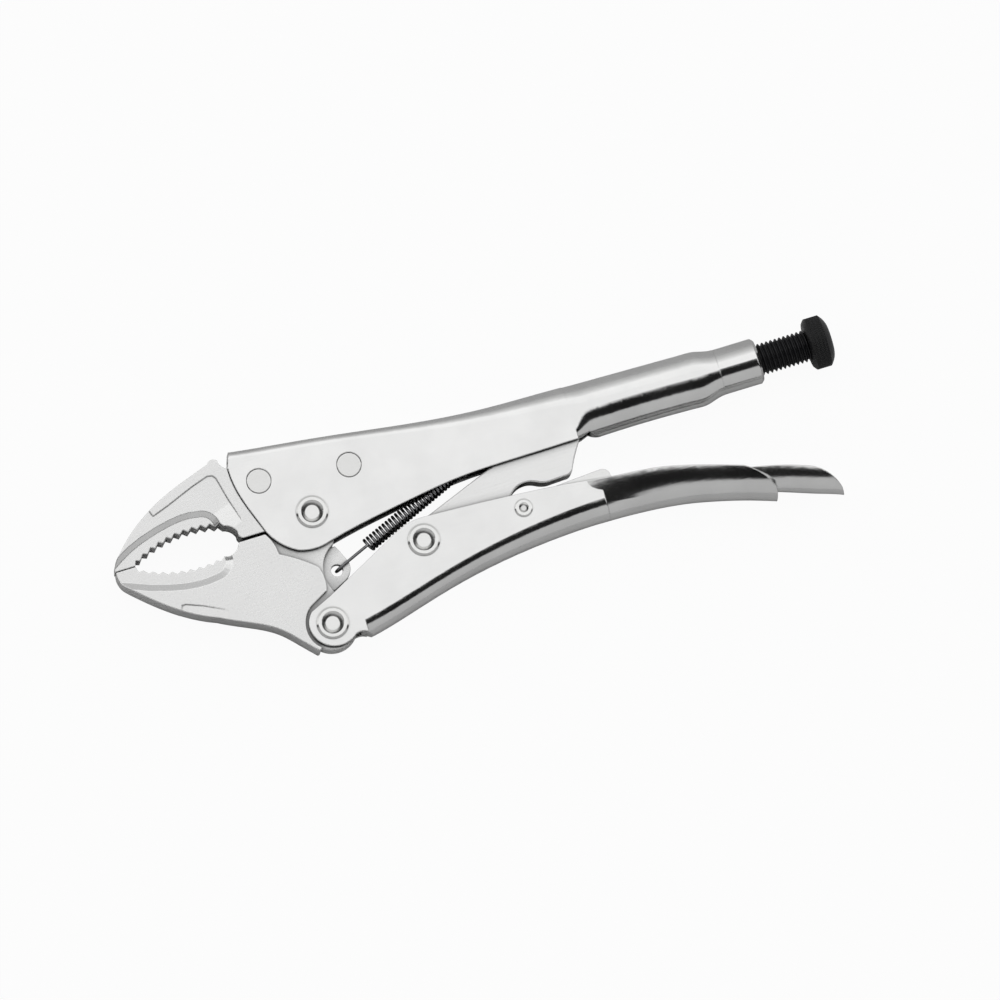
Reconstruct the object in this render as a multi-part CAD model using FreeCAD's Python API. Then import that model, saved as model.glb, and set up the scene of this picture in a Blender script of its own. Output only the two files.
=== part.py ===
"""Locking pliers with curved jaws, lying flat: X runs along the adjusting screw to its knob, Y to the
upper handle and Z up. The jaw pivot stands on the origin. All sizes are in mm."""

import FreeCAD, Part

import math
import os

# sheet metal of the two handles
SHEET = 2.3  # thickness of the handle sheet
WIDTH = 15.0  # outside width of a handle over its flat cheeks
INSIDE = WIDTH - 2 * SHEET
LEVER_SHEET = 1.6

# clearances
PIN_GAP = 0.05  # radial, of a rivet in the piece that turns on it
SIDE_GAP = 0.2  # each side, of a piece that turns between two cheeks
NEST_GAP = 0.4  # around the release lever in its handle
LINK_GAP = 0.4  # each side, of the toggle link in the two handles
SEAT_GAP = 0.25  # between a fixed jaw's shoulder and the front of the cheeks
GRIP_GAP = 0.05  # each side, of the fixed jaw's tang in the handle
HUG_GAP = 0.5  # between the moving jaw's shoulder and the cheek that it swings past
BITE_GAP = 0.3  # between the two closed jaw tips
THREAD_GAP = 0.05  # radial, of the screw in its nut and of the knob on the screw
TOGGLE_GAP = 1.7  # between the toggle's tip and the screw with the jaws locked

# rivets
PIVOT_HEAD = 5.35
PIVOT_SHANK = 3.2
PIVOT_PROUD = 1.2  # how far a pivot rivet's head stands off the cheek
CRATER = 3.3
FLUSH_RIVET = 4.15
LEVER_HEAD = 3.0
LEVER_SHANK = 1.9
LEVER_PROUD = 0.8
MID = PIVOT_PROUD + WIDTH / 2  # height of the middle plane

# pivots in the locked pose
JAW_PIVOT = (0.0, 0.0)
HANDLE_PIVOT = (-4.5, -37.3)
LINK_PIVOT = (32.5, -19.7)
LEVER_PIVOT = (67.2, -19.2)
REAR_RIVETS = ((-13.8, 14.9), (16.3, 11.4))

# jaws
JAW_SUNK = 0.5  # how far each flat side of a jaw lies under the outer face of a cheek
JAW_THICK = WIDTH - 2 * JAW_SUNK
JAW_REACH = 68.0  # from the jaw pivot to the nose
THROAT = -26.0  # where the jaws' working part starts
STRETCH = (JAW_REACH + THROAT) / (68.0 + THROAT)  # of the working part, from the shape drawn for a reach of 68
LIP_STEP = 1.5  # how much thinner each side is along the teeth
LIP_SLOPE = 2.4  # width of the slope down to there
RIM_STEP = 0.4  # height of the raised rim along the back of a jaw
LAST_TOOTH = 4.4  # from the throat to the last tooth
TOOTH_PITCH = 3.0
TOOTH_DEPTH = 1.25
LUG_RADIUS = 8.8
LUG_THICK = INSIDE - 2 * SIDE_GAP
EYE_RADIUS = 8.7
TAB_THICK = 3.4
SPRING_HOLE = (2.5, -20.4)
SPRING_HOLE_RADIUS = 2.0

# upper handle: channel, oval tube and the threaded neck behind it
SCREW_Y = 6.0
CHANNEL_END = 93.5
TUBE_LENGTH = 42.0
NECK_LENGTH = 7.5
NUT_LENGTH = 14.0
TUBE_END = CHANNEL_END + TUBE_LENGTH
NUT_START = TUBE_END + NECK_LENGTH
NUT_END = NUT_START + NUT_LENGTH
NUT_RADIUS = 7.7
SEAM = 0.7

# screw and knob
SCREW_RADIUS = 5.3
PITCH = 1.5
THREAD_DEPTH = 0.85
SCREW_OUT = 17.1  # thread showing behind the nut
TOGGLE_TIP = (93.4, SCREW_Y)
SCREW_TIP = TOGGLE_TIP[0] + TOGGLE_GAP
KNOB_RADIUS = 8.7
KNOB_LENGTH = 7.9
SHANK_RADIUS = 3.6
KNOB_START = NUT_END + SCREW_OUT

# toggle link, release lever and return spring
LINK_THICK = INSIDE - 2 * LINK_GAP
LINK_EYE = 5.7
LEVER_EYE = 4.8
TAIL_HALF = 6.2  # half width of the release lever's tail
SPRING_RADIUS = 2.65
WIRE = 0.5
HANGER_HOLE = (75.5, 10.2)
HANGER_THICK = 3.0

V = FreeCAD.Vector
Z_AXIS = V(0, 0, 1)
FAR = 200.0  # longer than anything that is cut


def at(point, z=0.0):
    return V(point[0], point[1], z)


def outline(start, *stretches):
    """A closed wire at height 0. A stretch of one point is straight, of two an arc through the first,
    and of more a smooth curve."""
    here = at(start)
    edges = []
    for stretch in stretches:
        points = [at(p) for p in stretch]
        if len(points) == 1:
            edge = Part.LineSegment(here, points[0])
        elif len(points) == 2:
            edge = Part.Arc(here, points[0], points[1])
        else:
            edge = Part.BSplineCurve()
            edge.interpolate([here] + points)
        edges.append(edge.toShape())
        here = points[-1]
    if here.distanceToPoint(at(start)) > 1e-6:
        edges.append(Part.LineSegment(here, at(start)).toShape())
    return Part.Wire(edges)


def polygon(points):
    return outline(points[0], *[[p] for p in points[1:]])


def plate(wire, thick):
    """The outline as a plate of that thickness about the middle plane."""
    solid = Part.Face(wire).extrude(V(0, 0, thick))
    solid.translate(V(0, 0, MID - thick / 2))
    return solid


def pin(point, radius, thick, z=MID):
    return Part.makeCylinder(radius, thick, at(point, z - thick / 2), Z_AXIS)


def mirrored(solid):
    """The same solid on the other side of the middle plane."""
    return solid.mirror(V(0, 0, MID), Z_AXIS)


def both_sides(body, cutter):
    return body.cut(cutter).cut(mirrored(cutter))


def section(x, points, arcs, corners):
    """A closed wire across X of (y, z) points about the middle plane. arcs holds, by the index of the point
    that a stretch starts from, the point its arc passes through; corners holds the corner that a quarter
    of an ellipse rounds off."""
    places = [V(x, y, MID + z) for y, z in points]
    edges = []
    for i, place in enumerate(places):
        after = places[(i + 1) % len(places)]
        if i in arcs:
            y, z = arcs[i]
            edges.append(Part.Arc(place, V(x, y, MID + z), after).toShape())
        elif i in corners:
            y, z = corners[i]
            quarter = Part.BSplineCurve()
            poles = [place, V(x, y, MID + z), after]
            quarter.buildFromPolesMultsKnots(poles, [3, 3], [0.0, 1.0], False, 2, [1.0, math.sqrt(0.5), 1.0])
            edges.append(quarter.toShape())
        else:
            edges.append(Part.LineSegment(place, after).toShape())
    return Part.Wire(edges)


def roofed(x, top, half, radius, foot):
    """A section with a flat roof, rounded shoulders and straight sides down to foot."""
    points = [
        (foot, -half),
        (top - radius, -half),
        (top, radius - half),
        (top, half - radius),
        (top - radius, half),
        (foot, half),
    ]
    return section(x, points, {}, {1: (top, -half), 3: (top, half)})


def rounded(x, low, high, half, roof, foot, tuck):
    """A rounded oblong across X. Its upper corners have radius roof; the lower ones are foot tall and
    tuck wide."""
    points = [
        (low + foot, -half),
        (high - roof, -half),
        (high, roof - half),
        (high, half - roof),
        (high - roof, half),
        (low + foot, half),
        (low, half - tuck),
        (low, tuck - half),
    ]
    corners = {1: (high, -half), 3: (high, half), 5: (low, half), 7: (low, -half)}
    return section(x, points, {}, corners)


def folded(x, spine, half, radius, high):
    """A section with a flat-bottomed spine, rounded corners and straight sides up to height high."""
    points = [
        (spine + high, -half),
        (spine + radius, -half),
        (spine, radius - half),
        (spine, half - radius),
        (spine + radius, half),
        (spine + high, half),
    ]
    return section(x, points, {}, {1: (spine, -half), 3: (spine, half)})


def bellied(x, spine, lip, half, radius, inset):
    """A section whose sides bow from upright at height lip into a spine of that radius."""
    rise = lip - spine - radius
    bow = (rise**2 / (half - radius) + radius + half) / 2
    turn = math.asin(rise / (bow - radius))
    ball = radius - inset
    wall = bow - inset
    centre = spine + radius
    side = half - bow
    join = (centre - ball * math.sin(turn), ball * math.cos(turn))
    middle = (lip - wall * math.sin(turn / 2), side + wall * math.cos(turn / 2))
    edge = half - inset
    points = [(lip + 9.0, -edge), (lip, -edge), (join[0], -join[1]), join, (lip, edge), (lip + 9.0, edge)]
    arcs = {1: (middle[0], -middle[1]), 2: (centre - ball, 0.0), 3: middle}
    return section(x, points, arcs, {})


def loft(wires):
    return Part.makeLoft(wires, True, False)


def steps(start, end, count):
    """Evenly spaced numbers from start to just short of end."""
    return [start + (end - start) * i / count for i in range(count)]


def between(stations, x):
    """The stations' values at x, on smooth curves through them all."""
    i = 0
    while i < len(stations) - 2 and stations[i + 1][0] <= x:
        i += 1
    here, there = stations[i], stations[i + 1]
    before, after = stations[max(i - 1, 0)], stations[min(i + 2, len(stations) - 1)]
    gap = there[0] - here[0]
    t = (x - here[0]) / gap
    values = []
    for k in range(1, len(here)):
        leaving = gap * (there[k] - before[k]) / (there[0] - before[0])
        coming = gap * (after[k] - here[k]) / (after[0] - here[0])
        level = here[k] * (2 * t**3 - 3 * t**2 + 1) + there[k] * (3 * t**2 - 2 * t**3)
        values.append(level + leaving * (t**3 - 2 * t**2 + t) + coming * (t**3 - t**2))
    return values


# ---------------------------------------------------------------- upper handle
def channel(inset):
    """The folded front of the upper handle, as if full; inset makes it the hollow inside."""
    stations = (
        (-26.0, 28.2, 2.4),
        (0.0, 24.6, 2.6),
        (20.0, 21.9, 2.8),
        (50.0, 17.9, 3.8),
        (72.0, 16.6, 5.2),
        (CHANNEL_END + 3.0, 16.0, 7.0),
    )
    half = WIDTH / 2 - inset
    return loft([roofed(x, top - inset, half, max(radius - inset, 0.3), -FAR / 2) for x, top, radius in stations])


def eased(share):
    """0 to 1 with a level start and finish."""
    share = min(max(share, 0.0), 1.0)
    return share * share * (3 - 2 * share)


TUBE_START = CHANNEL_END - 6.0  # inside the folded front
CURL_START = CHANNEL_END - 3.5
CURL_LENGTH = 7.0
FLAP_END = CHANNEL_END - 2.0  # of the flat cheeks
CHEEK_FOOT = -2.3  # height of the cheeks' lower edge where the tube begins
SUNK = 0.02  # how far the tube's start lies under the skin of the folded front
PROUD = 0.04  # how far its rear end stands over the nut


def tube(inset):
    """The oval grip: the cheeks curl in under the screw, and its rear end is necked down to the nut."""
    places = steps(TUBE_START, CURL_START, 2) + steps(CURL_START, CURL_START + CURL_LENGTH, 6)
    places += steps(CURL_START + CURL_LENGTH, TUBE_END, 11) + steps(TUBE_END, NUT_START, 5) + [NUT_START]
    wires = []
    for x in places:
        curl = eased((x - CURL_START) / CURL_LENGTH)
        neck = eased((x - TUBE_END) / NECK_LENGTH)
        along = (x - TUBE_START) / (TUBE_END - TUBE_START)
        high = (16.25 - 1.15 * along) * (1 - neck) + (SCREW_Y + NUT_RADIUS + PROUD) * neck
        oval_low = -3.35 + 0.55 * math.sin(math.pi * min(along, 1.0))
        low = CHEEK_FOOT + (oval_low - CHEEK_FOOT) * curl
        low = low * (1 - neck) + (SCREW_Y - NUT_RADIUS - PROUD) * neck
        swell = (SUNK + 0.2 + PROUD) * curl * (1 - neck)
        half = WIDTH / 2 - SUNK + swell + (NUT_RADIUS + PROUD + SUNK - WIDTH / 2) * neck
        roof = 6.6 + 0.75 * curl + (NUT_RADIUS - 7.5) * neck
        foot = 2.6 + 6.4 * curl
        foot = foot * (1 - neck) + (NUT_RADIUS - 0.15) * neck
        tuck = 2.6 + (half - 0.4 - 2.6) * curl
        roof, foot, tuck = [max(r - inset, 0.3) for r in (roof, foot, tuck)]
        wires.append(rounded(x, low + inset, high - inset, half - inset, roof, foot, tuck))
    return loft(wires)


CHEEK_FRONT = (
    [(-22.3, 22.0)],
    [(-21.4, 12.8), (-19.0, 5.0), (-16.5, -2.0)],
)
cheeks = outline(
    (-20.3, FAR),
    [(-20.6, 27.0)],
    *CHEEK_FRONT,
    [(-13.2, -6.9), (-8.0, -10.9)],
    [(-2.0, -11.9), (3.0, -11.0)],
    [(12.0, -9.0), (30.0, -5.9), (50.0, -3.2), (70.0, -2.6), (FLAP_END - 5.0, -2.4)],
    [(FLAP_END, -2.4)],
    [(FLAP_END, FAR)],
)
front = channel(0).common(plate(cheeks, WIDTH + 1))
nut = Part.makeCylinder(NUT_RADIUS, NUT_LENGTH, V(NUT_START, SCREW_Y, MID), V(1, 0, 0))
nut = nut.makeChamfer(0.9, [e for e in nut.Edges if e.BoundBox.XMin > NUT_END - 0.01])
upper_handle = front.fuse(tube(0)).fuse(nut)
hollow = channel(SHEET).common(Part.makeBox(FAR, FAR, FAR, V(FLAP_END - 1.0 - FAR, -FAR / 2, MID - FAR / 2)))
upper_handle = upper_handle.cut(hollow)
upper_handle = upper_handle.cut(tube(SHEET))
bore = SCREW_RADIUS + THREAD_GAP
upper_handle = upper_handle.cut(Part.makeCylinder(bore, FAR, V(CHANNEL_END, SCREW_Y, MID), V(1, 0, 0)))
# the mouth for the link narrows to the seam where the two edges of the sheet meet
MOUTH_END = CHANNEL_END + 2.4
MOUTH_DEEP = 11.5
seam_start = MOUTH_END + 4.0
mouth = [
    V(TUBE_START - 1, SCREW_Y - 14, MID - INSIDE / 2),
    V(MOUTH_END, SCREW_Y - 14, MID - INSIDE / 2),
    V(seam_start, SCREW_Y - 14, MID - SEAM / 2),
    V(NUT_START - 1, SCREW_Y - 14, MID - SEAM / 2),
    V(NUT_START - 1, SCREW_Y - 14, MID + SEAM / 2),
    V(seam_start, SCREW_Y - 14, MID + SEAM / 2),
    V(MOUTH_END, SCREW_Y - 14, MID + INSIDE / 2),
    V(TUBE_START - 1, SCREW_Y - 14, MID + INSIDE / 2),
]
upper_handle = upper_handle.cut(Part.Face(Part.makePolygon(mouth + mouth[:1])).extrude(V(0, MOUTH_DEEP, 0)))
for point in REAR_RIVETS:
    upper_handle = upper_handle.cut(pin(point, FLUSH_RIVET, WIDTH + 1))
upper_handle = upper_handle.cut(pin(JAW_PIVOT, PIVOT_SHANK, WIDTH + 1))


# ---------------------------------------------------------------- jaws
def reach(x):
    """Stretches what lies in front of the throat to the jaws' reach."""
    if x > THROAT:
        return x
    return THROAT + (x - THROAT) * STRETCH


def nosed(points):
    return [(reach(x), y) for x, y in points]


def teeth(first, crown, bow, depth):
    """The zigzag of a jaw's teeth from the tip to the throat; its roots lie on a parabola."""
    span = THROAT - LAST_TOOTH - first
    count = round(span / TOOTH_PITCH)
    middle = first + span * 0.66  # the widest place of the mouth
    points = []
    for i in range(2 * count + 1):
        x = first + span * i / (2 * count)
        root = crown + bow * ((x - middle) / STRETCH) ** 2
        points.append((x, root + (depth if i % 2 else 0)))
    return points


TIP_END = reach(-61.0)
upper_teeth = teeth(TIP_END + 0.6, 7.0, -0.0135, -TOOTH_DEPTH)
lower_teeth = teeth(TIP_END + 0.6, -7.4, 0.0130, TOOTH_DEPTH - 0.3)
tip_low = -BITE_GAP
tip_high = 0.0

fixed_front = outline(
    (TIP_END, tip_high),
    [nosed([(-67.9, tip_high)])[0]],
    nosed([(-67.3, 2.2), (-65.0, 5.0)]),
    nosed([(-60.0, 10.0), (-53.0, 15.1), (-45.0, 19.3), (-36.0, 22.7), (-28.5, 25.2)]),
    [(-26.0, 26.2), (-24.9, 25.4)],
    [(-24.1, 23.2), (-22.3 - SEAT_GAP, 22.0)],
    [(-21.4 - SEAT_GAP, 12.8), (-19.0 - SEAT_GAP, 5.0), (-16.5 - SEAT_GAP, -1.6)],
    [(-23.8, -1.6)],
    [(-25.2, -0.9), (-25.5, 0.8)],
    [(-26.8, 2.9), (-29.2, 4.1)],
    [upper_teeth[-1]],
    *[[p] for p in reversed(upper_teeth[:-1])],
)
tang_arc = LUG_RADIUS + HUG_GAP
tang = outline(
    (-23.5, 21.5),
    [(-21.5, 12.0)],
    [(-18.0, -1.6)],
    [(-math.sqrt(tang_arc**2 - 1.6**2), -1.6)],
    [(0.0, tang_arc), (math.sqrt(tang_arc**2 - 3.0**2), 3.0)],
    [(12.0, 5.4)],
    [(20.0, 5.4)],
    [(22.6, 8.0)],
    [(22.6, 17.9)],
    [(0.0, 20.9)],
    [(-18.5, 23.4)],
)
UPPER_LIP = nosed([(-70.0, 1.6), (-66.0, 4.2), (-60.0, 7.3), (-54.0, 9.4), (-47.0, 11.1),
    (-40.0, 11.8), (-35.5, 11.2)])
UPPER_LIP_END = ([(-31.9, 9.3), (-30.4, 6.0)], [(-30.3, 3.0)])
LOWER_LIP = nosed([(-70.0, -4.6), (-66.0, -6.0), (-60.0, -8.5), (-54.0, -10.4), (-47.0, -12.0),
    (-41.0, -12.5), (-36.0, -12.1)])
LOWER_LIP_END = ([(-32.0, -10.4), (-30.2, -7.4)], [(-30.0, -4.0)])


def lip_cut(line, end, side):
    """What comes off a jaw's top face along its teeth: a step with a sloping edge. side is 1 for the
    upper jaw and -1 for the lower one."""
    back = (line[0][0] - 6, line[0][1])
    curved = outline(line[0], line[1:], *end[:1])
    bend = [(p.x, p.y) for e in curved.Edges[:2] for p in e.discretize(Deflection=0.06)]
    bend = [p for i, p in enumerate(bend) if i == 0 or math.dist(p, bend[i - 1]) > 0.01]
    measured = polygon([back] + bend + [end[-1][0], (end[-1][0][0], -side * 13.0), (back[0], -side * 13.0)])
    shallow = LIP_SLOPE * RIM_STEP / LIP_STEP
    floor = measured.makeOffset2D(shallow - LIP_SLOPE, 2)
    brim = measured.makeOffset2D(shallow, 2)
    top = MID + JAW_THICK / 2
    floor.translate(V(0, 0, top - LIP_STEP))
    brim.translate(V(0, 0, top + 0.01))
    return Part.makeLoft([floor, brim], True, True)


def field(points, thick):
    """A shallow cut over an area of the top face."""
    wire = polygon(points)
    wire.translate(V(0, 0, MID + thick / 2 - RIM_STEP))
    return Part.Face(wire).extrude(V(0, 0, 2))


def fading(cut, low, high, thick):
    """A shallow cut whose floor climbs from its full depth at low to the top face at high."""
    run = math.dist(low, high)
    stock = Part.makeBox(FAR, 2 * FAR, FAR, V(0, -FAR, -FAR))
    stock.rotate(V(0, 0, 0), V(0, 1, 0), -math.degrees(math.atan2(RIM_STEP, run)))
    stock.rotate(V(0, 0, 0), Z_AXIS, math.degrees(math.atan2(high[1] - low[1], high[0] - low[0])))
    stock.translate(at(low, MID + thick / 2 - RIM_STEP))
    return cut.cut(stock)


fixed_jaw = plate(fixed_front, JAW_THICK)
upper_field = nosed([(-90.0, -20.0), (-90.0, 40.0), (-52.2, 40.0), (-51.4, 16.3), (-50.6, 14.0)])
upper_field += nosed([(-45.0, 15.9), (-40.0, 17.9), (-35.0, 19.8), (-29.6, 21.5)])
upper_field += [(-27.9, 21.2), (-27.0, 20.0), (-25.3, 12.5), (-23.3, 5.2), (-22.6, 2.0), (-22.6, -20.0)]
recess = fading(field(upper_field, JAW_THICK), (-26.5, 10.5), (-24.0, 3.5), JAW_THICK)
fixed_jaw = both_sides(fixed_jaw, recess)
fixed_jaw = both_sides(fixed_jaw, lip_cut(UPPER_LIP, UPPER_LIP_END, 1))
fixed_jaw = fixed_jaw.fuse(plate(tang, INSIDE - 2 * GRIP_GAP))
for point in REAR_RIVETS:
    fixed_jaw = fixed_jaw.cut(pin(point, FLUSH_RIVET, WIDTH + 1))

lower_front = outline(
    (TIP_END, tip_low),
    *[[p] for p in lower_teeth],
    [(-28.0, -5.2), (-26.4, -3.2)],
    [(-25.9, -2.6)],
    [(-16.5 - HUG_GAP, -2.6)],
    [(-15.2 - HUG_GAP, -5.0), (-14.4 - HUG_GAP, -7.5)],
    [(-14.6, -10.2)],
    [(-9.6, -13.2), (-3.4, -18.0)],
    [(-2.6, -22.5), (-3.2, -26.4)],
    [(-9.5, -29.8)],
    [(-13.2, -35.4), (-12.4, -41.4)],
    [(-11.6, -42.6), (-10.5, -43.7)],
    [(-10.6, -44.4), (-11.7, -44.3)],
    [(-16.6, -39.1), (-21.5, -34.3), (-30.0, -29.4), (-40.0, -24.5)],
    nosed([(-48.0, -20.6), (-56.0, -15.0), (-62.0, -9.8), (-65.9, -6.1)]),
    nosed([(-67.6, -3.3), (-67.7, tip_low)]),
)
lug = outline(
    (-19.0, -2.9),
    [(-LUG_RADIUS * 0.94, -LUG_RADIUS * math.sqrt(1 - 0.94**2))],
    [(0.0, LUG_RADIUS), (LUG_RADIUS * 0.94, -LUG_RADIUS * math.sqrt(1 - 0.94**2))],
    [(5.6, -8.4), (3.6, -12.0)],
    [(-1.0, -16.4), (-2.3, -22.0)],
    [(-1.6, -25.0), (2.0, HANDLE_PIVOT[1] + math.sqrt(EYE_RADIUS**2 - 6.5**2))],
    [
        (HANDLE_PIVOT[0], HANDLE_PIVOT[1] - EYE_RADIUS),
        (HANDLE_PIVOT[0] - EYE_RADIUS * 0.79, HANDLE_PIVOT[1] - EYE_RADIUS * math.sqrt(1 - 0.79**2)),
    ],
    [(-13.6, -42.4)],
    [(-19.0, -30.0)],
)
tab = outline(
    (-4.0, -12.5),
    [(4.2, -12.5)],
    [(5.7, -15.6), (7.1, -18.9)],
    [(6.7, -21.8), (4.2, -24.4)],
    [(0.0, -26.5)],
    [(-4.0, -26.5)],
)
lower_jaw = plate(lower_front, JAW_THICK)
lower_rim = nosed([(-51.0, -40.0), (-50.9, -18.9), (-50.4, -17.2), (-49.0, -17.1), (-43.5, -19.3),
    (-37.0, -22.6)])
lower_rim += nosed([(-33.0, -25.0), (-33.0, -40.0)])
edge_cut = fading(field(lower_rim, JAW_THICK), nosed([(-48.0, -18.0)])[0], nosed([(-36.0, -23.0)])[0], JAW_THICK)
lower_jaw = both_sides(lower_jaw, edge_cut)
lower_jaw = both_sides(lower_jaw, lip_cut(LOWER_LIP, LOWER_LIP_END, -1))
lower_jaw = lower_jaw.fuse(plate(lug, LUG_THICK)).fuse(plate(tab, TAB_THICK))
lower_jaw = lower_jaw.cut(pin(JAW_PIVOT, PIVOT_SHANK + PIN_GAP, WIDTH))
lower_jaw = lower_jaw.cut(pin(HANDLE_PIVOT, PIVOT_SHANK + PIN_GAP, WIDTH))
lower_jaw = lower_jaw.cut(pin(SPRING_HOLE, SPRING_HOLE_RADIUS, WIDTH))


# ---------------------------------------------------------------- lower handle
SPINE = (
    (4.0, -45.0, 5.4),
    (20.0, -41.4, 5.4),
    (40.0, -36.1, 5.4),
    (60.0, -32.6, 5.9),
    (78.0, -31.0, 6.5),
    (94.0, -30.7, 6.9),
)
BELLY = (
    (90.0, -30.75, -15.4, 0.05, 6.9),
    (98.0, -30.9, -16.9, 0.5, 7.0),
    (106.0, -31.3, -18.0, 0.85, 7.1),
    (114.0, -32.0, -19.2, 1.0, 7.3),
    (122.0, -33.2, -21.0, 1.05, 7.5),
    (134.0, -36.0, -24.2, 1.05, 7.6),
    (144.0, -39.0, -27.3, 1.05, 7.6),
    (152.0, -41.9, -29.9, 1.05, 7.6),
)


def lower_channel(inset):
    """The folded front of the lower handle, as if full."""
    return loft([folded(x, spine + inset, WIDTH / 2 - inset, radius - inset, 26.0) for x, spine, radius in SPINE])


def lower_grip(inset):
    """Its rear, where the sides belly out for the hand. A station holds x, the spine's and the lip's
    heights, how far the sides stand out and the spine's radius."""
    wires = []
    for x in steps(BELLY[0][0], BELLY[-1][0], 12) + [BELLY[-1][0]]:
        spine, lip, out, radius = between(BELLY, x)
        wires.append(bellied(x, spine, lip, WIDTH / 2 + out, radius, inset))
    return loft(wires)


FLANK = 7.8  # radius of the cheeks around the handle pivot
lower_side = outline(
    (HANDLE_PIVOT[0] - 5.5, HANDLE_PIVOT[1] + 5.5),
    [(-2.4, -28.4)],
    [(10.0, -22.0)],
    [(24.0, -14.9)],
    [(29.0, -12.9), (36.0, -12.4)],
    [(52.0, -13.2), (68.0, -14.3), (84.0, -15.8), (100.0, -17.8), (112.0, -19.0), (126.0, -22.2),
     (141.0, -26.9)],
    [(146.2, -31.2), (149.3, -36.4)],
    [(149.2, -39.6), (147.0, -43.5)],
    [(60.0, -60.0)],
    [(8.2, -50.0)],
    [(8.2, -45.4)],
    [(6.4, -43.6)],
    [(4.2, -42.7), (2.0, -42.9)],
    [(HANDLE_PIVOT[0], HANDLE_PIVOT[1] - FLANK), (HANDLE_PIVOT[0] - FLANK, HANDLE_PIVOT[1])],
    [(HANDLE_PIVOT[0] - 7.2, HANDLE_PIVOT[1] + 3.0), (HANDLE_PIVOT[0] - 5.5, HANDLE_PIVOT[1] + 5.5)],
)
cheek_block = Part.makeBox(20, 40, WIDTH, V(-14.0, -50.0, MID - WIDTH / 2))
cheek_block = cheek_block.cut(Part.makeBox(30, 50, INSIDE, V(-20.0, -55.0, MID - INSIDE / 2)))
lower_handle = lower_channel(0).fuse(lower_grip(0)).cut(lower_channel(SHEET)).cut(lower_grip(SHEET))
lower_handle = lower_handle.fuse(cheek_block)
lower_handle = lower_handle.common(plate(lower_side, WIDTH + 6))
for point, radius in ((HANDLE_PIVOT, PIVOT_SHANK), (LINK_PIVOT, PIVOT_SHANK), (LEVER_PIVOT, LEVER_SHANK)):
    lower_handle = lower_handle.cut(pin(point, radius, WIDTH + 4))


# ---------------------------------------------------------------- toggle link
link_wire = outline(
    (LINK_PIVOT[0] - LINK_EYE * 0.35, LINK_PIVOT[1] + LINK_EYE * math.sqrt(1 - 0.35**2)),
    [(86.0, 6.7)],
    [(91.6, 7.9), (TOGGLE_TIP[0], TOGGLE_TIP[1])],
    [(93.2, 1.5), (91.0, -4.0)],
    [(88.6, -7.8), (86.8, -11.2)],
    [(86.0, -12.3), (84.2, -12.8)],
    [(79.2, -13.0)],
    [(76.6, -12.9), (74.2, -12.0)],
    [(69.8, -11.0), (64.5, -14.0)],
    [(LINK_PIVOT[0] + LINK_EYE * 0.35, LINK_PIVOT[1] - LINK_EYE * math.sqrt(1 - 0.35**2))],
    [(LINK_PIVOT[0] - LINK_EYE, LINK_PIVOT[1]),
     (LINK_PIVOT[0] - LINK_EYE * 0.35, LINK_PIVOT[1] + LINK_EYE * math.sqrt(1 - 0.35**2))],
)
toggle_link = plate(link_wire, LINK_THICK)
toggle_link = toggle_link.cut(pin(LINK_PIVOT, PIVOT_SHANK + PIN_GAP, WIDTH))


# ---------------------------------------------------------------- release lever
LEVER_HALF = INSIDE / 2 - NEST_GAP
LEVER_SPINE = (
    (58.0, -24.6, -15.0, 0.0),
    (80.0, -26.2, -16.5, 0.0),
    (100.0, -27.9, -18.0, 0.0),
    (120.0, -29.9, -20.5, 0.0),
    (140.0, -34.8, -26.0, 0.1),
    (156.0, -39.9, -31.2, 0.6),
    (172.0, -45.8, -37.4, 1.0),
)


def lever_trough(inset):
    wires = []
    for x in steps(LEVER_SPINE[0][0], LEVER_SPINE[-1][0], 12) + [LEVER_SPINE[-1][0]]:
        spine, lip, flare = between(LEVER_SPINE, x)
        half = LEVER_HALF + (TAIL_HALF - LEVER_HALF) * flare
        wires.append(bellied(x, spine, lip, half, half * 0.8, inset))
    return loft(wires)


lever_side = outline(
    (LEVER_PIVOT[0], LEVER_PIVOT[1] + LEVER_EYE),
    [(74.0, -15.4)],
    [(84.0, -14.7)],
    [(95.0, -14.0)],
    [(97.0, -14.4), (98.2, -16.8)],
    [(100.0, -19.6)],
    [(120.0, -23.2), (132.0, -25.4), (143.5, -27.8), (152.0, -29.8), (160.0, -32.4)],
    [(167.0, -36.6), (170.6, -43.0)],
    [(170.8, -47.0)],
    [(160.0, -52.0)],
    [(62.0, -52.0)],
    [(LEVER_PIVOT[0] - LEVER_EYE, -24.0)],
    [(LEVER_PIVOT[0] - LEVER_EYE, LEVER_PIVOT[1])],
    [(LEVER_PIVOT[0] - LEVER_EYE * 0.7, LEVER_PIVOT[1] + LEVER_EYE * 0.71),
     (LEVER_PIVOT[0], LEVER_PIVOT[1] + LEVER_EYE)],
)
release_lever = lever_trough(0).cut(lever_trough(LEVER_SHEET)).common(plate(lever_side, WIDTH + 6))
release_lever = release_lever.cut(pin(LEVER_PIVOT, LEVER_SHANK + PIN_GAP, WIDTH))


# ---------------------------------------------------------------- rivets
def turned(profile, point):
    """A piece turned about an upright axis through point. profile is a list of (radius, z)."""
    wire = Part.makePolygon([V(r, 0, z) for r, z in profile + profile[:1]])
    solid = Part.Face(wire).revolve(V(0, 0, 0), Z_AXIS, 360)
    solid.translate(at(point))
    return solid


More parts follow.
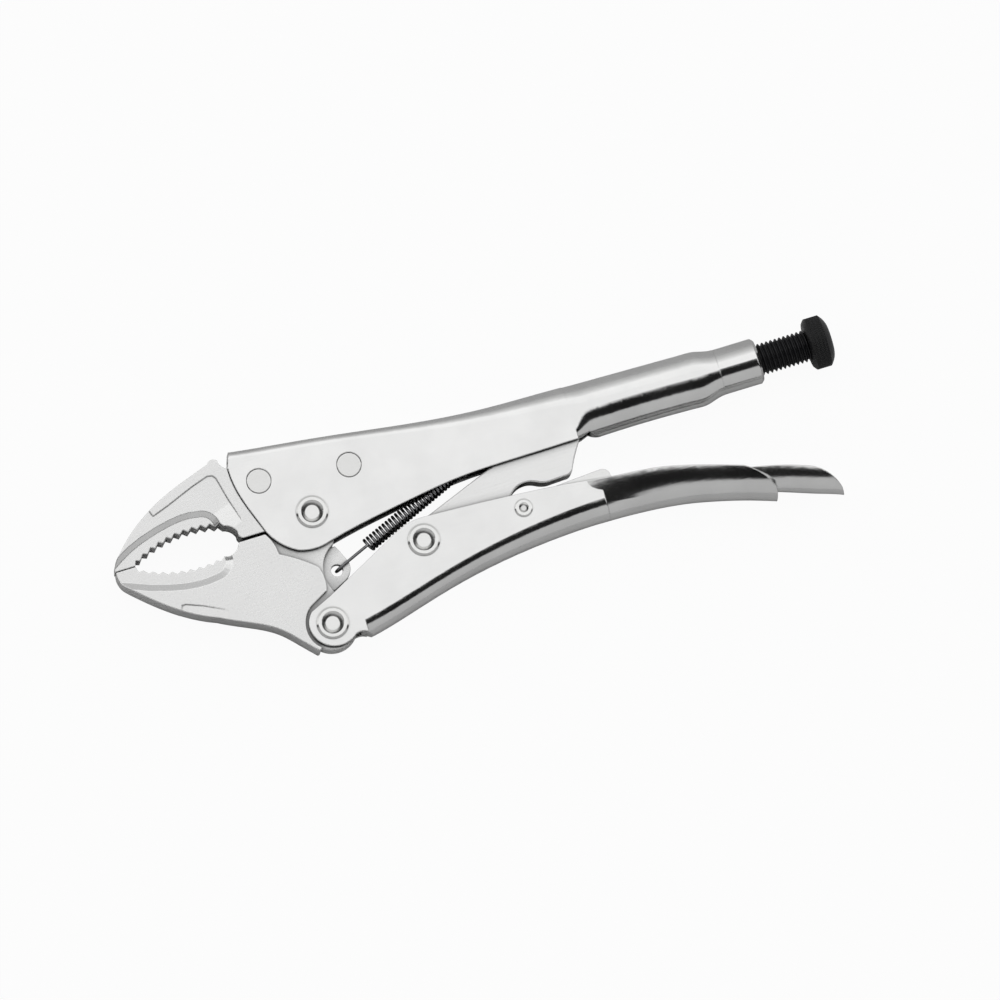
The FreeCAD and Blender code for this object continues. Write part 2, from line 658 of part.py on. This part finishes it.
def pivot_rivet(point, head, shank, proud, crater):
    """A rivet with a flat head underneath and a swaged rim with a crater on top."""
    low = MID - WIDTH / 2
    high = MID + WIDTH / 2
    rim = high + proud
    profile = [
        (0.0, low - proud),
        (head - 0.35, low - proud),
        (head, low - proud + 0.35),
        (head, low),
        (shank, low),
        (shank, high),
        (head, high),
        (head, high + proud * 0.3),
        (head - proud * 0.45, rim),
        (crater + proud * 0.35, rim),
        (crater * 0.72, rim - proud * 1.15),
        (0.0, rim - proud * 1.15),
    ]
    return turned(profile, point)


def flush_rivet(point):
    edge = 0.25
    low = MID - WIDTH / 2
    high = MID + WIDTH / 2
    profile = [
        (0.0, low),
        (FLUSH_RIVET - edge, low),
        (FLUSH_RIVET, low + edge),
        (FLUSH_RIVET, high - edge),
        (FLUSH_RIVET - edge, high),
        (0.0, high),
    ]
    return turned(profile, point)


# ---------------------------------------------------------------- screw and knob
def along_screw(profile):
    """A piece turned about the screw's axis. profile is a list of (x, radius)."""
    wire = Part.makePolygon([V(x, r, 0) for x, r in profile + profile[:1]])
    solid = Part.Face(wire).revolve(V(0, 0, 0), V(1, 0, 0), 360)
    solid.translate(V(0, SCREW_Y, MID))
    return solid


thread = [(SCREW_TIP, 0.0), (SCREW_TIP, SCREW_RADIUS - 1.6), (SCREW_TIP + 1.2, SCREW_RADIUS - 0.3)]
turns = int((KNOB_START - SCREW_TIP - 2.4) / PITCH)
for i in range(turns):
    x = SCREW_TIP + 1.6 + i * PITCH
    thread.append((x, SCREW_RADIUS))
    thread.append((x + PITCH * 0.12, SCREW_RADIUS))
    thread.append((x + PITCH * 0.5, SCREW_RADIUS - THREAD_DEPTH))
    thread.append((x + PITCH * 0.62, SCREW_RADIUS - THREAD_DEPTH))
thread.append((SCREW_TIP + 1.6 + turns * PITCH, SCREW_RADIUS - 0.2))
thread.append((KNOB_START - 0.1, SCREW_RADIUS - 0.2))
thread.append((KNOB_START - 0.1, SHANK_RADIUS))
thread.append((KNOB_START + KNOB_LENGTH - 1.6, SHANK_RADIUS))
thread.append((KNOB_START + KNOB_LENGTH - 1.6, 0.0))
adjusting_screw = along_screw(thread)

knob_end = KNOB_START + KNOB_LENGTH
knob_bore = SHANK_RADIUS + THREAD_GAP
adjusting_knob = along_screw(
    [
        (KNOB_START, knob_bore),
        (KNOB_START, KNOB_RADIUS - 1.1),
        (KNOB_START + 1.1, KNOB_RADIUS),
        (knob_end - 2.0, KNOB_RADIUS),
        (knob_end - 0.9, KNOB_RADIUS - 1.3),
        (knob_end, KNOB_RADIUS - 3.2),
        (knob_end, 0.0),
        (knob_end - 1.5, 0.0),
        (knob_end - 1.5, knob_bore),
    ]
)

# ---------------------------------------------------------------- spring and its hanger
hanger_wire = outline(
    (HANGER_HOLE[0] - 3.2, 15.5),
    [(HANGER_HOLE[0] - 2.9, HANGER_HOLE[1])],
    [(HANGER_HOLE[0], HANGER_HOLE[1] - 2.9), (HANGER_HOLE[0] + 2.9, HANGER_HOLE[1])],
    [(HANGER_HOLE[0] + 3.2, 15.5)],
)
spring_hanger = plate(hanger_wire, HANGER_THICK).cut(channel(0).cut(channel(SHEET)))
spring_hanger = spring_hanger.cut(pin(HANGER_HOLE, 1.5, WIDTH))

COIL_FROM = 13.0  # along the spring, from the hole in the jaw
COIL_SHORT = 9.0  # the coil ends this far before the hanger
HOOK = TAB_THICK / 2 + WIRE + 0.1
span = math.dist(SPRING_HOLE, HANGER_HOLE)
lean = math.degrees(math.atan2(HANGER_HOLE[1] - SPRING_HOLE[1], HANGER_HOLE[0] - SPRING_HOLE[0]))
X_AXIS = V(1, 0, 0)


def hook(start, coil, sign):
    """A spring's hook in the XZ plane: two legs and a half turn, from the coil through a hole."""
    middle = start + sign * (HOOK - WIRE * 0.5)
    bend = Part.makeTorus(HOOK, WIRE, V(middle, 0, 0), V(0, 1, 0))
    box = Part.makeBox(HOOK + 2 * WIRE, 4 * WIRE, 4 * HOOK, V(0, -2 * WIRE, -2 * HOOK))
    if sign > 0:
        box.translate(V(middle - HOOK - 2 * WIRE, 0, 0))
    else:
        box.translate(V(middle, 0, 0))
    bend = bend.common(box)
    near = Part.makeCylinder(WIRE, abs(coil - middle) + 0.6, V(middle, 0, HOOK), V(sign, 0, 0))
    far = Part.makeCylinder(WIRE, 3.2, V(middle, 0, -HOOK), V(sign, 0, 0))
    return bend.fuse(near).fuse(far)


coil_end = span - COIL_SHORT
coil = Part.makeCylinder(SPRING_RADIUS, coil_end - COIL_FROM, V(COIL_FROM, 0, 0), X_AXIS)
coil = coil.cut(Part.makeCylinder(SPRING_RADIUS - 2 * WIRE, FAR, V(0, 0, 0), X_AXIS))
return_spring = coil.fuse(hook(0.0, COIL_FROM, 1)).fuse(hook(span, coil_end, -1))
return_spring.rotate(V(0, 0, 0), Z_AXIS, lean)
return_spring.translate(at(SPRING_HOLE, MID))

nodes = {
    "upper_handle": upper_handle,
    "fixed_jaw": fixed_jaw,
    "jaw_rivet_front": flush_rivet(REAR_RIVETS[0]),
    "jaw_rivet_rear": flush_rivet(REAR_RIVETS[1]),
    "jaw_pivot_rivet": pivot_rivet(JAW_PIVOT, PIVOT_HEAD, PIVOT_SHANK, PIVOT_PROUD, CRATER),
    "spring_hanger": spring_hanger,
    "return_spring": return_spring,
    "lower_jaw": lower_jaw,
    "lower_handle": lower_handle,
    "handle_pivot_rivet": pivot_rivet(HANDLE_PIVOT, PIVOT_HEAD, PIVOT_SHANK, PIVOT_PROUD, CRATER),
    "link_pivot_rivet": pivot_rivet(LINK_PIVOT, PIVOT_HEAD, PIVOT_SHANK, PIVOT_PROUD, CRATER),
    "release_lever_rivet": pivot_rivet(LEVER_PIVOT, LEVER_HEAD, LEVER_SHANK, LEVER_PROUD, LEVER_SHANK * 0.7),
    "toggle_link": toggle_link,
    "release_lever": release_lever,
    "adjusting_screw": adjusting_screw,
    "adjusting_knob": adjusting_knob,
}
os.makedirs("parts", exist_ok=True)
for name, shape in nodes.items():
    print(name, len(shape.Solids), shape.isValid(), round(shape.Volume, 1))
    shape.exportStep(f"parts/{name}.step")
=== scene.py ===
# Locking pliers with curved jaws, lying flat on a white table: finishes and fine detail over the frame.
import math

import bpy
from mathutils import Matrix, Vector


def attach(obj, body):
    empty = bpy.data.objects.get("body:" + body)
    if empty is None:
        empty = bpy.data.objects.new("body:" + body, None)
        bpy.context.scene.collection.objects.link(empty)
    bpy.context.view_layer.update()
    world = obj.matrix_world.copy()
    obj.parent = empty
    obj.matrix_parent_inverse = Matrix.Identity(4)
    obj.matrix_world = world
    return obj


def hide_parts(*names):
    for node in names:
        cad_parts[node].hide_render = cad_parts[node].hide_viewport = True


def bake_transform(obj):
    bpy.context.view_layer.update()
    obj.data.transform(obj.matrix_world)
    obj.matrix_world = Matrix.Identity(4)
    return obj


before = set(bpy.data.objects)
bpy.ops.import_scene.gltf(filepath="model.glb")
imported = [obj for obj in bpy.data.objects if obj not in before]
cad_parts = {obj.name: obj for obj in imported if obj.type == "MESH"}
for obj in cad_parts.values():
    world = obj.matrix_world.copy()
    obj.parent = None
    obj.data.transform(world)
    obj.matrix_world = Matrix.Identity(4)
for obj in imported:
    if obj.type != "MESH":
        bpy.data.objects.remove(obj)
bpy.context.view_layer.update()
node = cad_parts

# ------------------------------------------------------------------ upper handle
# The upper handle is one pressing of 2.3 mm steel sheet, folded down over the fixed jaw and rolled into
# an oval grip with a threaded neck. It is tumbled smooth and bright nickel plated.


def wire_up(material):
    """The material's shader, a way to add nodes with their settings and a way to join sockets."""
    tree = material.node_tree
    shader = tree.nodes["Principled BSDF"]

    def add(kind, **settings):
        made = tree.nodes.new(kind)
        for name, value in settings.items():
            if hasattr(made, name):
                setattr(made, name, value)
            else:
                made.inputs[name.replace("_", " ")].default_value = value
        return made

    return shader, add, tree.links.new


def spread(add, join, source, low, high, least, most):
    """The source's run from low to high, stretched to least and most."""
    made = add("ShaderNodeMapRange", From_Min=low, From_Max=high, To_Min=least, To_Max=most)
    join(source, made.inputs["Value"])
    return made.outputs["Result"]


def metal(name, tint, gloss, dull, lines, pores, rounding=0.00045, metallic=1.0, shade=0.25, hollow=1.0,
          specular=0.5):
    """Worked metal: cloudy tint and gloss, fine lines left by the polishing along the tool, pores, soft
    edges, and painted shade that darkens the tint in tight gaps where pieces meet and under overhangs.
    dull is how much rougher its dull spots are; lines and pores are the strengths of its relief; shade is
    what is left of its tint under the painted shade in the tightest gaps and hollow what is left under the
    painted shade of an overhang."""
    material = bpy.data.materials.new(name)
    material.use_nodes = True
    shader, add, join = wire_up(material)
    shader.inputs["Metallic"].default_value = metallic
    shader.inputs["Specular IOR Level"].default_value = specular
    place = add("ShaderNodeTexCoord").outputs["Object"]
    along = add("ShaderNodeMapping")
    along.inputs["Scale"].default_value = (50.0, 1400.0, 1400.0)
    along.inputs["Rotation"].default_value = (0.0, 0.0, 0.12)
    join(place, along.inputs["Vector"])
    streak = add("ShaderNodeTexNoise", Scale=1.0, Detail=4.0, Roughness=0.6)
    join(along.outputs["Vector"], streak.inputs["Vector"])
    cloud = add("ShaderNodeTexNoise", Scale=70.0, Detail=5.0, Roughness=0.55)
    join(place, cloud.inputs["Vector"])
    pore = add("ShaderNodeTexNoise", Scale=1500.0, Detail=3.0, Roughness=0.7)
    join(place, pore.inputs["Vector"])

    patch = add("ShaderNodeMixRGB")
    patch.inputs["Color1"].default_value = (*[c * 0.93 for c in tint], 1.0)
    patch.inputs["Color2"].default_value = (*tint, 1.0)
    join(spread(add, join, cloud.outputs["Fac"], 0.35, 0.65, 0.0, 1.0), patch.inputs["Fac"])
    speckle = add("ShaderNodeMixRGB", blend_type="MULTIPLY")
    speckle.inputs["Fac"].default_value = 1.0
    join(patch.outputs["Color"], speckle.inputs["Color1"])
    join(spread(add, join, pore.outputs["Fac"], 0.3, 0.55, 1.0 - pores * 0.18, 1.0), speckle.inputs["Color2"])
    # Painted shade: ambient occlusion darkens the tint in the tightest gaps where pieces meet, standing in for
    # contact shadow.
    gap = add("ShaderNodeAmbientOcclusion", samples=8)
    gap.inputs["Distance"].default_value = 0.0016
    gap_painted_shade = add("ShaderNodeMixRGB", blend_type="MULTIPLY")
    gap_painted_shade.inputs["Fac"].default_value = 1.0
    join(speckle.outputs["Color"], gap_painted_shade.inputs["Color1"])
    join(spread(add, join, gap.outputs["AO"], 0.25, 0.85, shade, 1.0), gap_painted_shade.inputs["Color2"])
    # Painted shade: a wider ambient occlusion darkens the tint under overhangs and beside steps, standing in
    # for cast shadow.
    lee = add("ShaderNodeAmbientOcclusion", samples=8)
    lee.inputs["Distance"].default_value = 0.007
    overhang_painted_shade = add("ShaderNodeMixRGB", blend_type="MULTIPLY")
    overhang_painted_shade.inputs["Fac"].default_value = 1.0
    join(gap_painted_shade.outputs["Color"], overhang_painted_shade.inputs["Color1"])
    join(spread(add, join, lee.outputs["AO"], 0.35, 0.85, hollow, 1.0), overhang_painted_shade.inputs["Color2"])
    join(overhang_painted_shade.outputs["Color"], shader.inputs["Base Color"])

    spots = spread(add, join, cloud.outputs["Fac"], 0.3, 0.75, gloss, gloss + dull)
    specks = spread(add, join, pore.outputs["Fac"], 0.5, 0.75, 0.0, dull)
    both = add("ShaderNodeMath", operation="ADD")
    join(spots, both.inputs[0])
    join(specks, both.inputs[1])
    join(both.outputs["Value"], shader.inputs["Roughness"])

    edge = add("ShaderNodeBevel", samples=6)
    edge.inputs["Radius"].default_value = rounding
    brushed = add("ShaderNodeBump")
    brushed.inputs["Strength"].default_value = lines
    brushed.inputs["Distance"].default_value = 0.00003
    join(edge.outputs["Normal"], brushed.inputs["Normal"])
    join(streak.outputs["Fac"], brushed.inputs["Height"])
    pitted = add("ShaderNodeBump")
    pitted.inputs["Strength"].default_value = pores
    pitted.inputs["Distance"].default_value = 0.00004
    join(brushed.outputs["Normal"], pitted.inputs["Normal"])
    join(pore.outputs["Fac"], pitted.inputs["Height"])
    join(pitted.outputs["Normal"], shader.inputs["Normal"])
    return material


def finish(piece, material):
    piece.data.materials.clear()
    piece.data.materials.append(material)


upper_nickel = metal("bright_nickel_upper", (0.88, 0.88, 0.875), 0.09, 0.05, 0.30, 0.05)
finish(node["upper_handle"], upper_nickel)

# ------------------------------------------------------------------ fixed jaw
# The fixed jaw is drop forged alloy steel with milled teeth and a raised rim left by the die. Its tang
# sits between the handle's cheeks, and it is shot blasted and satin nickel plated.
# hollow=0.45 paints deeper shade under overhangs, such as on the jaw's tab under the handles' cheeks.
forged = metal("satin_nickel_forging", (0.97, 0.97, 0.965), 0.23, 0.05, 0.20, 0.16, metallic=0.95, hollow=0.45)
finish(node["fixed_jaw"], forged)

# ------------------------------------------------------------------ moving jaw
# The moving jaw is forged and plated like the fixed one. Its lug turns on the main rivet inside the
# upper handle, and a thin tab behind it holds the spring's hook.
finish(node["lower_jaw"], forged)

# ------------------------------------------------------------------ rivets
# Two flush rivets hold the fixed jaw's tang, ground level with the cheeks. Three larger ones and a small
# one are the pivots, with a plain head below and a rim swaged over round a crater on top.
ground = metal("ground_rivet_end", (0.87, 0.87, 0.86), 0.16, 0.08, 0.40, 0.20, rounding=0.0003)
for name in ("jaw_rivet_front", "jaw_rivet_rear"):
    finish(node[name], ground)
# shade=0.1 paints near-black shade in the tight gaps round the rivet heads and craters, drawing dark outline
# rings.
swaged = metal("swaged_rivet", (0.90, 0.90, 0.89), 0.12, 0.06, 0.15, 0.15, rounding=0.00025, shade=0.1)
for name in ("jaw_pivot_rivet", "handle_pivot_rivet", "link_pivot_rivet", "release_lever_rivet"):
    finish(node[name], swaged)

# ------------------------------------------------------------------ lower handle
# The lower handle is a second pressing of the same sheet, folded the other way up. Its flat front carries
# the pivots, and its sides belly out behind them to fill the hand.
lower_nickel = metal("bright_nickel_lower", (0.87, 0.87, 0.865), 0.10, 0.05, 0.35, 0.06)
finish(node["lower_handle"], lower_nickel)

# ------------------------------------------------------------------ toggle link
# The link is blanked from thick plate, its corners tumbled round, and plated with the handles. Its tip
# bears on the end of the adjusting screw when the jaws lock.
# hollow=0.30 paints a deep shadow on the link where it runs under the upper handle's lower edge.
link_nickel = metal(
    "nickel_plate_link", (0.90, 0.90, 0.895), 0.14, 0.08, 0.45, 0.15, rounding=0.0009, hollow=0.30
)
finish(node["toggle_link"], link_nickel)

# ------------------------------------------------------------------ release lever
# The release lever is a trough of thinner sheet inside the lower handle, turning on the small rivet. Only
# its thumb tail shows, worn a little duller where it is pushed.
lever_nickel = metal("nickel_sheet_lever", (0.86, 0.86, 0.855), 0.12, 0.08, 0.40, 0.08)
finish(node["release_lever"], lever_nickel)

# ------------------------------------------------------------------ adjusting screw
# The adjusting screw is turned steel with a rolled thread and a black oxide finish, oiled. It runs in the
# neck of the upper handle, and the link's tip bears on its front end.
SCREW_LINE = (0.006, 0.0087)  # the screw's axis: across the tool and above the table
TIP_CONE = 0.0016  # how far the screw's tip is coned in


def piece_of(name, points, faces, crease, material):
    """A piece made from its points and faces, smooth but for edges sharper than crease degrees."""
    mesh = bpy.data.meshes.new(name)
    mesh.from_pydata(points, [], faces)
    mesh.validate()
    mesh.shade_smooth()
    mesh.set_sharp_from_angle(angle=math.radians(crease))
    piece = bpy.data.objects.new(name, mesh)
    bpy.context.scene.collection.objects.link(piece)
    finish(piece, material)
    return piece


def round_screw_line(x, radius, turn):
    return (x, SCREW_LINE[0] + radius * math.cos(turn), SCREW_LINE[1] + radius * math.sin(turn))


def threaded(first, last, radius, depth, pitch, around):
    """A rolled thread as one helical strip, with a coned start and both ends closed."""
    profile = ((0.0, 0.0), (0.14, 0.0), (0.48, 1.0), (0.62, 1.0))
    count = round((last - first) / pitch * around)
    points = []
    for step in range(count + around + 1):
        turn = 2 * math.pi * step / around
        for share, cut in profile:
            x = first - pitch + pitch * (step / around + share)
            x = min(max(x, first), last)
            cone = radius - TIP_CONE + (x - first)
            points.append(round_screw_line(x, min(radius - depth * cut, cone), turn))
    faces = []
    for step in range(count + around):
        for side in range(3):
            a = 4 * step + side
            faces.append((a, a + 4, a + 5, a + 1))
        if step + around < count + around:
            a = 4 * step + 3
            b = 4 * (step + around)
            faces.append((a, a + 4, b + 4, b))
    for x, cap in ((first, radius - TIP_CONE), (last, radius - depth)):
        ring = len(points)
        points += [round_screw_line(x, cap, 2 * math.pi * i / around) for i in range(around)]
        faces.append(tuple(range(ring, ring + around)))
    return points, faces


black_oxide = metal(
    "oiled_black_oxide", (0.016, 0.016, 0.018), 0.30, 0.15, 0.40, 0.60,
    rounding=0.0001, metallic=0.0, specular=0.35,
)
SCREW_FROM = 0.0951
SCREW_TO = 0.1741
SCREW_RADIUS = 0.0053
THREAD_DEPTH = 0.00085
PITCH = 0.0015
strip = threaded(SCREW_FROM, SCREW_TO, SCREW_RADIUS, THREAD_DEPTH, PITCH, 40)
thread = piece_of("adjusting_screw_thread", *strip, 30, black_oxide)
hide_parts("adjusting_screw")
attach(thread, "screw")

# ------------------------------------------------------------------ knob
# The knob is a separate turned head pressed on the screw's shank, with a fine diamond knurl on its rim, a
# chamfer at the back and a domed end. It is blacked with the screw.
KNOB_FROM = SCREW_TO
KNOB_TO = 0.1820
KNOB_RADIUS = 0.0087
KNURL = 64  # ridges round the rim
KNURL_DEPTH = 0.00028


def ridge(phase):
    """0 on a groove's floor, 1 from a little way up its side."""
    return min(1.0, 2.4 * abs(2 * (phase % 1.0) - 1.0))


def knurled():
    """The knob's skin, ring by ring from the screw's side: the chamfer, the knurled rim and the dome."""
    length = KNOB_TO - KNOB_FROM
    chamfer = ((0.0, 0.00365), (0.0, 0.0070), (0.0001, 0.0075), (0.0008, 0.0084), (0.0011, KNOB_RADIUS))
    # the dome's rings by how far each lies short of the end, with a small dimple in the middle
    dome = (
        (0.0020, KNOB_RADIUS), (0.0015, 0.0081), (0.0009, 0.0073), (0.0004, 0.0064), (0.0001, 0.0056),
        (0.0, 0.0052), (0.0, 0.0030), (0.0003, 0.0027), (0.0003, 0.0004),
    )
    rows = [(x, radius, 0) for x, radius in chamfer]
    rows += [(0.0012 + 0.00016 * i, KNOB_RADIUS, 1) for i in range(29)]
    rows += [(length - short, radius, 0) for short, radius in dome]
    around = KNURL * 6
    lean = KNURL / (2 * math.pi * KNOB_RADIUS)
    points = []
    for x, radius, cut in rows:
        for i in range(around):
            share = i / around
            floor = min(ridge(share * KNURL + x * lean), ridge(share * KNURL - x * lean))
            deep = cut * KNURL_DEPTH * (1 - floor)
            points.append(round_screw_line(KNOB_FROM + x, radius - deep, 2 * math.pi * share))
    faces = []
    for row in range(len(rows) - 1):
        for i in range(around):
            j = (i + 1) % around
            a = row * around
            faces.append((a + i, a + j, a + around + j, a + around + i))
    faces.append(tuple(reversed(range((len(rows) - 1) * around, len(rows) * around))))
    return points, faces


knob_black = metal(
    "blacked_knob", (0.014, 0.014, 0.015), 0.28, 0.12, 0.30, 0.50,
    rounding=0.0001, metallic=0.0, specular=0.35,
)
knob = piece_of("adjusting_knob_knurled", *knurled(), 40, knob_black)
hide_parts("adjusting_knob")
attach(knob, "knob")

# ------------------------------------------------------------------ spring hanger
# The hanger is a small tab of sheet welded under the roof of the upper handle, with a hole for the
# spring's rear hook.
finish(node["spring_hanger"], upper_nickel)

# ------------------------------------------------------------------ return spring
# The return spring is close wound from 1 mm music wire, oil blued. One hook goes through the jaw's tab and
# the other through the hanger, so it swings the moving jaw open.
JAW_HOLE = Vector((0.0025, -0.0204, 0.0087))
HANGER_HOLE = Vector((0.0755, 0.0102, 0.0087))
WIRE_RADIUS = 0.0005
COIL_RADIUS = 0.00215
COIL_PITCH = 0.00135
HOOK_RADIUS = 0.0023
FIRST_COIL = 0.0132  # from the hole in the jaw
COIL_END = 0.0092  # at least this far short of the hole in the hanger


def wire_line():
    """The wire's middle line as (along the spring, sideways, up) from the hole in the jaw."""

    def hook(middle, start):
        """Half a turn round that middle from the angle start."""
        angles = [start - math.pi * i / 12 for i in range(13)]
        return [(middle + HOOK_RADIUS * math.cos(a), 0.0, HOOK_RADIUS * math.sin(a)) for a in angles]

    span = (HANGER_HOLE - JAW_HOLE).length
    front = HOOK_RADIUS - 0.00025
    back = span - front
    first = FIRST_COIL
    turns = round((span - COIL_END - first) / COIL_PITCH)
    last = first + turns * COIL_PITCH
    line = [(front + 0.0030, 0.0, -HOOK_RADIUS), (front + 0.0015, 0.0, -HOOK_RADIUS)]
    line += hook(front, -math.pi / 2)
    line += [(front + 0.003, 0.0, HOOK_RADIUS), (first - 0.003, 0.0, HOOK_RADIUS)]
    line += [(first - 0.001, 0.0, 0.00222)]
    for i in range(turns * 20 + 1):
        turn = 2 * math.pi * i / 20
        forward = first + (last - first) * i / (turns * 20)
        line.append((forward, COIL_RADIUS * math.sin(turn), COIL_RADIUS * math.cos(turn)))
    line += [(last + 0.001, 0.0, 0.00222), (last + 0.003, 0.0, HOOK_RADIUS)]
    line += hook(back, math.pi / 2)
    line += [(back - 0.0015, 0.0, -HOOK_RADIUS), (back - 0.0030, 0.0, -HOOK_RADIUS)]
    return line


def drawn(line, sides):
    """A round wire along the line, with both ends closed."""
    forward = (HANGER_HOLE - JAW_HOLE).normalized()
    sideways = Vector((-forward.y, forward.x, 0.0))
    path = [JAW_HOLE + forward * a + sideways * b + Vector((0, 0, c)) for a, b, c in line]
    points = []
    lift = sideways
    for i, here in enumerate(path):
        heading = (path[min(i + 1, len(path) - 1)] - path[max(i - 1, 0)]).normalized()
        lift = (lift - heading * lift.dot(heading)).normalized()
        cross = heading.cross(lift)
        for k in range(sides):
            turn = 2 * math.pi * k / sides
            points.append(here + (lift * math.cos(turn) + cross * math.sin(turn)) * WIRE_RADIUS)
    faces = []
    for i in range(len(path) - 1):
        for k in range(sides):
            a = i * sides
            n = (k + 1) % sides
            faces.append((a + k, a + n, a + sides + n, a + sides + k))
    faces.append(tuple(reversed(range(sides))))
    faces.append(tuple(range((len(path) - 1) * sides, len(path) * sides)))
    return points, faces


# shade=0.05 paints near-black shade in the tight grooves between the spring's turns.
blued = metal("blued_music_wire", (0.30, 0.30, 0.31), 0.18, 0.10, 0.20, 0.30, rounding=0.0001, shade=0.05)
spring = piece_of("return_spring_wound", *drawn(wire_line(), 10), 50, blued)
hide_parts("return_spring")
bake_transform(spring)

# ------------------------------------------------------------------ table, light and camera
# The tool lies on a matt white table inside a light tent, with a long black card hung over its near side.
# The table is overexposed to plain white, as for a catalogue.
roll = math.radians(17.0)
across = Vector((math.cos(roll), -math.sin(roll), 0.0))
upward = Vector((math.sin(roll), math.cos(roll), 0.0))

bpy.ops.mesh.primitive_plane_add(size=8.0, location=(0.06, 0.0, 0.0))
table = bpy.context.object
table.name = "table"
white = bpy.data.materials.new("matt_white_table")
white.use_nodes = True
shader, add, join = wire_up(white)
shader.inputs["Base Color"].default_value = (0.66, 0.66, 0.66, 1)
shader.inputs["Roughness"].default_value = 0.9
shader.inputs["Specular IOR Level"].default_value = 0.1
overexposed = add("ShaderNodeEmission", Color=(1, 1, 1, 1), Strength=1.02)
seen = add("ShaderNodeLightPath")
share = add("ShaderNodeMath", operation="MULTIPLY")
share.inputs[1].default_value = 0.93
join(seen.outputs["Is Camera Ray"], share.inputs[0])
either = add("ShaderNodeMixShader")
join(share.outputs["Value"], either.inputs["Fac"])
join(shader.outputs["BSDF"], either.inputs[1])
join(overexposed.outputs["Emission"], either.inputs[2])
join(either.outputs["Shader"], white.node_tree.nodes["Material Output"].inputs["Surface"])
table.data.materials.append(white)

world = bpy.context.scene.world or bpy.data.worlds.new("tent")
bpy.context.scene.world = world
world.use_nodes = True
tree = world.node_tree
tree.nodes.clear()
out = tree.nodes.new("ShaderNodeOutputWorld")
tent = tree.nodes.new("ShaderNodeBackground")
look = tree.nodes.new("ShaderNodeTexCoord")
tilt = tree.nodes.new("ShaderNodeVectorMath")
tilt.operation = "DOT_PRODUCT"
tilt.inputs[1].default_value = upward
height = tree.nodes.new("ShaderNodeSeparateXYZ")
angle = tree.nodes.new("ShaderNodeMath")
angle.operation = "ARCTAN2"
turn = tree.nodes.new("ShaderNodeMapRange")
turn.inputs["From Min"].default_value = -math.pi / 2
turn.inputs["From Max"].default_value = math.pi / 2
walls = tree.nodes.new("ShaderNodeValToRGB")
tree.links.new(look.outputs["Generated"], tilt.inputs[0])
tree.links.new(look.outputs["Generated"], height.inputs[0])
tree.links.new(tilt.outputs["Value"], angle.inputs[0])
tree.links.new(height.outputs["Z"], angle.inputs[1])
tree.links.new(angle.outputs["Value"], turn.inputs["Value"])
# the tent's brightness by how far it leans from overhead, in degrees toward the far side
bands = (
    (-90, 0.46),
    (-32, 0.50),
    (-28, 0.01),
    (-1, 0.01),
    (3, 0.90),
    (10, 0.98),
    (38, 1.02),
    (50, 0.78),
    (62, 0.60),
    (78, 0.46),
    (90, 0.38),
)
ramp = walls.color_ramp
while len(ramp.elements) > 1:
    ramp.elements.remove(ramp.elements[-1])
for slant, level in bands[1:]:
    ramp.elements.new((slant + 90) / 180)
for mark, (slant, level) in zip(ramp.elements, bands):
    mark.position = (slant + 90) / 180
    mark.color = (level, level, level, 1)
tree.links.new(turn.outputs["Result"], walls.inputs["Fac"])
tree.links.new(walls.outputs["Color"], tent.inputs["Color"])
open_side = tree.nodes.new("ShaderNodeBackground")
open_side.inputs["Color"].default_value = (1, 1, 1, 1)
seen = tree.nodes.new("ShaderNodeLightPath")
either = tree.nodes.new("ShaderNodeMixShader")
tree.links.new(seen.outputs["Is Camera Ray"], either.inputs["Fac"])
tree.links.new(tent.outputs["Background"], either.inputs[1])
tree.links.new(open_side.outputs["Background"], either.inputs[2])
tree.links.new(either.outputs["Shader"], out.inputs["Surface"])

view = bpy.data.cameras.new("studio_camera")
view.lens = 600.0
view.sensor_width = 36.0
camera = bpy.data.objects.new("studio_camera", view)
bpy.context.scene.collection.objects.link(camera)
target = Vector((0.0605, -0.0144, 0.0162))
down = math.radians(8.0)
side = math.radians(3.0)
toward = (Vector((0, 0, 1)) * math.cos(down) - upward * math.sin(down)).normalized()
toward = (toward * math.cos(side) - across * math.sin(side)).normalized()
WIDE = 0.330  # how much of the table the frame takes in
distance = WIDE / 2 / math.tan(view.angle / 2)
camera.location = target + toward * distance
right = (across - toward * across.dot(toward)).normalized()
top = toward.cross(right)
camera.matrix_world = Matrix(
    (
        (right.x, top.x, toward.x, camera.location.x),
        (right.y, top.y, toward.y, camera.location.y),
        (right.z, top.z, toward.z, camera.location.z),
        (0, 0, 0, 1),
    )
)
view.clip_end = 20.0
bpy.context.scene.camera = camera
bpy.context.scene.view_settings.view_transform = "Standard"
